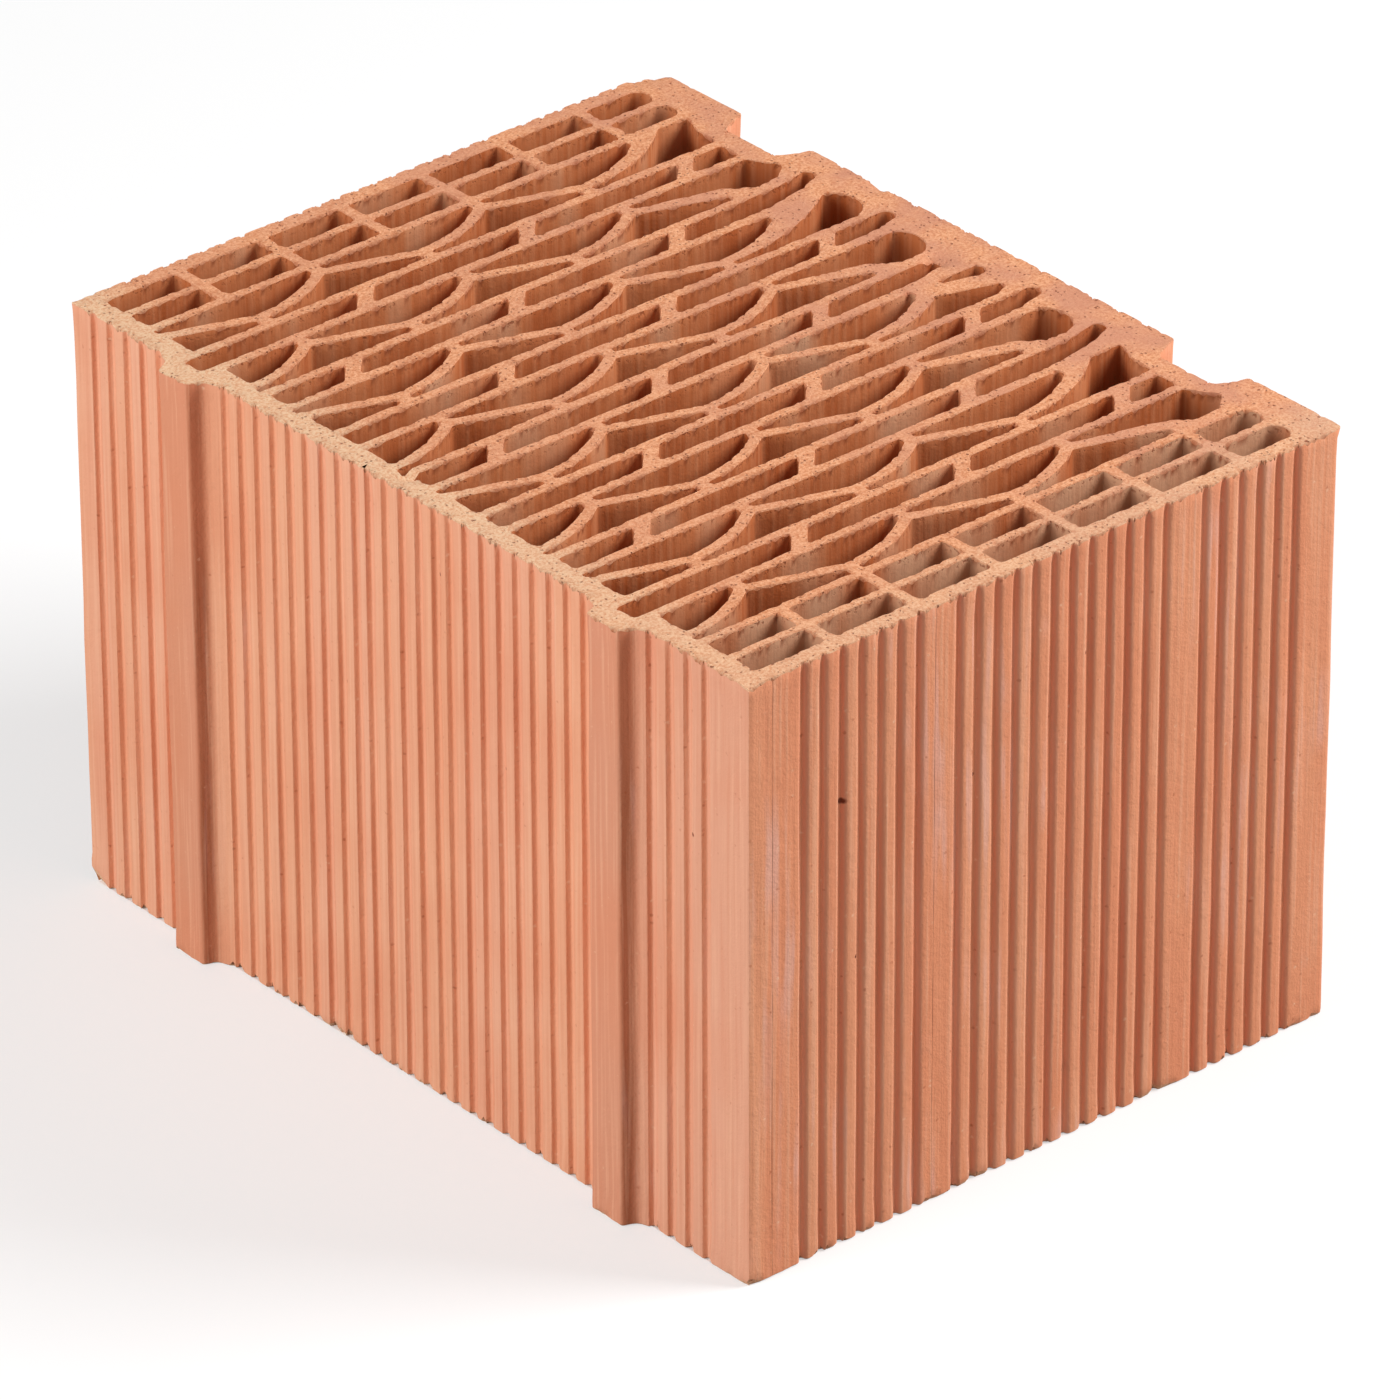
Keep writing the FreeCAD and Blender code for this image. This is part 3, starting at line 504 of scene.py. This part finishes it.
lined = add(tree, "MapRange", {"Value": drag.outputs["Fac"], 1: 0.4, 2: 0.7, 3: 0.0, 4: 0.3})
colour = add(tree, "Mix", {0: lined.outputs["Result"], 6: colour.outputs[2], 7: linear("#DA9A70")},
             data_type="RGBA")
FRONT_CELLS_Y, BANDS_Y = -165 / MM, -110 / MM
front_cells = add(tree, "MapRange", {"Value": axes.outputs["Y"], 1: FRONT_CELLS_Y, 2: BANDS_Y,
                                     3: 0.22, 4: 0.0})
cool = add(tree, "Math", {0: cloud.outputs["Fac"], 1: front_cells.outputs["Result"]}, operation="ADD")
bloom = add(tree, "MapRange", {"Value": cool.outputs["Value"], 1: 0.56, 2: 0.76, 3: 0.0, 4: 0.6})
colour = add(tree, "Mix", {0: bloom.outputs["Result"], 6: colour.outputs[2], 7: linear("#C8A486")},
             data_type="RGBA")
PITS_Z, RIM_Z = 245 / MM, 248 / MM
under_rim = add(tree, "MapRange", {"Value": axes.outputs["Z"], 1: PITS_Z, 2: RIM_Z})
torn = add(tree, "TexNoise", {"Vector": where, "Scale": MM / 1.8, "Detail": 2.0, "Roughness": 0.6})
deep = add(tree, "MapRange", {"Value": torn.outputs["Fac"], 1: 0.56, 2: 0.64, 3: 0.0, 4: 0.8})
pits = add(tree, "Math", {0: deep.outputs["Result"], 1: under_rim.outputs["Result"]}, operation="MULTIPLY")
worn = add(tree, "Attribute", attribute_name="wear")
pits = add(tree, "Math", {0: pits.outputs["Value"], 1: worn.outputs["Fac"]}, operation="MAXIMUM",
           use_clamp=True)
colour = add(tree, "Mix", {0: pits.outputs["Value"], 6: colour.outputs[2], 7: linear("#7E3C1C")},
             data_type="RGBA")
tree.links.new(colour.outputs[2], shader.inputs["Base Color"])
fine = add(tree, "Math", {0: grain.outputs["Fac"], 1: 0.6, 2: drag.outputs["Fac"]}, operation="MULTIPLY_ADD")
sunk = add(tree, "Math", {0: pits.outputs["Value"], 1: -1.2, 2: fine.outputs["Value"]},
           operation="MULTIPLY_ADD")
bump = add(tree, "Bump", {"Height": sunk.outputs["Value"], "Strength": 0.5, "Distance": 0.5 / MM})
tree.links.new(bump.outputs["Normal"], shader.inputs["Normal"])
for clay in (cut_clay, combed_clay, slot_clay):
    mesh.materials.append(clay)

# Studio: a sheet of matt white paper as the floor, in a white room. Both look white to the camera and in
# reflections, and light the clay less. The paper under the block gets no lift, so its holes look deep.
HALF_FLOOR = 9
floor_mesh = bpy.data.meshes.new("studio_floor")
floor_mesh.from_pydata([(-HALF_FLOOR, -HALF_FLOOR, 0), (HALF_FLOOR, -HALF_FLOOR, 0),
                        (HALF_FLOOR, HALF_FLOOR, 0), (-HALF_FLOOR, HALF_FLOOR, 0)], [], [(0, 1, 2, 3)])
floor = bpy.data.objects.new("studio_floor", floor_mesh)
bpy.context.scene.collection.objects.link(floor)
paper = bpy.data.materials.new("matt_white_paper")
world = bpy.data.worlds.new("white_room")
bpy.context.scene.world = world
paper.use_nodes = world.use_nodes = True
shown = []
for tree in (paper.node_tree, world.node_tree):
    seen = add(tree, "LightPath")
    direct = add(tree, "Math", {0: seen.outputs["Is Camera Ray"], 1: seen.outputs["Is Glossy Ray"]},
                 operation="MAXIMUM")
    shown.append(add(tree, "Math", {0: direct.outputs["Value"], 1: seen.outputs["Is Transmission Ray"]},
                     operation="MAXIMUM").outputs["Value"])
shown_paper, shown_room = shown

UNDER_BLOCK_X, UNDER_BLOCK_Y, PAPER_LIFT = 138.5 / MM, 186.5 / MM, 0.5
tree = paper.node_tree
shader = tree.nodes["Principled BSDF"]
shader.inputs["Roughness"].default_value = 0.95
shader.inputs["Specular IOR Level"].default_value = 0.1
tone = add(tree, "Mix", {0: shown_paper, 6: linear("#A0A0A0"), 7: linear("#FFFFFF")}, data_type="RGBA")
tree.links.new(tone.outputs[2], shader.inputs["Base Color"])
where = add(tree, "VectorMath", {0: add(tree, "TexCoord").outputs["Object"]}, operation="ABSOLUTE")
axes = add(tree, "SeparateXYZ", {"Vector": where.outputs["Vector"]})
beside = add(tree, "Math", {0: axes.outputs["X"], 1: UNDER_BLOCK_X}, operation="GREATER_THAN")
ahead = add(tree, "Math", {0: axes.outputs["Y"], 1: UNDER_BLOCK_Y}, operation="GREATER_THAN")
open_floor = add(tree, "Math", {0: beside.outputs["Value"], 1: ahead.outputs["Value"]}, operation="MAXIMUM")
paler = add(tree, "Math", {0: shown_paper, 1: PAPER_LIFT}, operation="MULTIPLY")
paler = add(tree, "Math", {0: paler.outputs["Value"], 1: open_floor.outputs["Value"]}, operation="MULTIPLY")
paler = add(tree, "MixShader", {0: paler.outputs["Value"], 1: shader.outputs["BSDF"],
                                2: add(tree, "Emission").outputs["Emission"]})
tree.links.new(paler.outputs["Shader"], tree.nodes["Material Output"].inputs["Surface"])
floor_mesh.materials.append(paper)

ROOM_LIGHT, ROOM_SHOWN = 0.28, 1.0
tree = world.node_tree
room = tree.nodes["Background"]
strength = add(tree, "MapRange", {"Value": shown_room, 3: ROOM_LIGHT, 4: ROOM_SHOWN})
tree.links.new(strength.outputs["Result"], room.inputs["Strength"])
room.inputs["Color"].default_value = (1.0, 1.0, 1.0, 1.0)

# Two square softboxes: a high one that grazes the front and a low one almost square to the tongue face,
# as direction, distance, size in metres and light level.
BLOCK_MIDDLE = Vector((0.0, 0.0, 0.12))
for name, towards, away, size, level in (("high_softbox", (0.60, -0.50, 0.62), 3.0, 1.5, 1.09),
                                         ("low_softbox", (-0.91, 0.16, 0.36), 3.0, 1.6, 0.76)):
    lamp = bpy.data.lights.new(name, "AREA")
    lamp.shape = "SQUARE"
    lamp.size = size
    lamp.energy = math.pi ** 2 * away ** 2 * level
    softbox = bpy.data.objects.new(name, lamp)
    bpy.context.scene.collection.objects.link(softbox)
    towards = Vector(towards).normalized()
    softbox.location = BLOCK_MIDDLE + towards * away
    softbox.rotation_euler = towards.to_track_quat("Z", "Y").to_euler()

# Camera at the photograph's angle, with a long lens far away. It is moved sideways and down a little to
# frame the block, so it needs no shift.
AZIMUTH, ELEVATION, ROLL = math.radians(-40.97), math.radians(30.11), math.radians(-0.17)
LENS, FAR, ASIDE, DOWN = 290.4, 4.197, 0.00067, 0.0155
AIM = Vector((0.004, 0.0, 0.1245))
back = Vector((math.sin(AZIMUTH) * math.cos(ELEVATION), -math.cos(AZIMUTH) * math.cos(ELEVATION),
               math.sin(ELEVATION)))
level_right = Vector((math.cos(AZIMUTH), math.sin(AZIMUTH), 0.0))
level_up = back.cross(level_right)
right = math.cos(ROLL) * level_right + math.sin(ROLL) * level_up
up = -math.sin(ROLL) * level_right + math.cos(ROLL) * level_up
lens = bpy.data.cameras.new("camera")
lens.sensor_width = 36.0
lens.lens = LENS
lens.clip_start, lens.clip_end = 0.5, 60.0
camera = bpy.data.objects.new("camera", lens)
bpy.context.scene.collection.objects.link(camera)
place = AIM + back * FAR - right * ASIDE - up * DOWN
camera.matrix_world = Matrix.Translation(place) @ Matrix((right, up, back)).transposed().to_4x4()
bpy.context.scene.camera = camera
bpy.context.scene.view_settings.view_transform = "Standard"
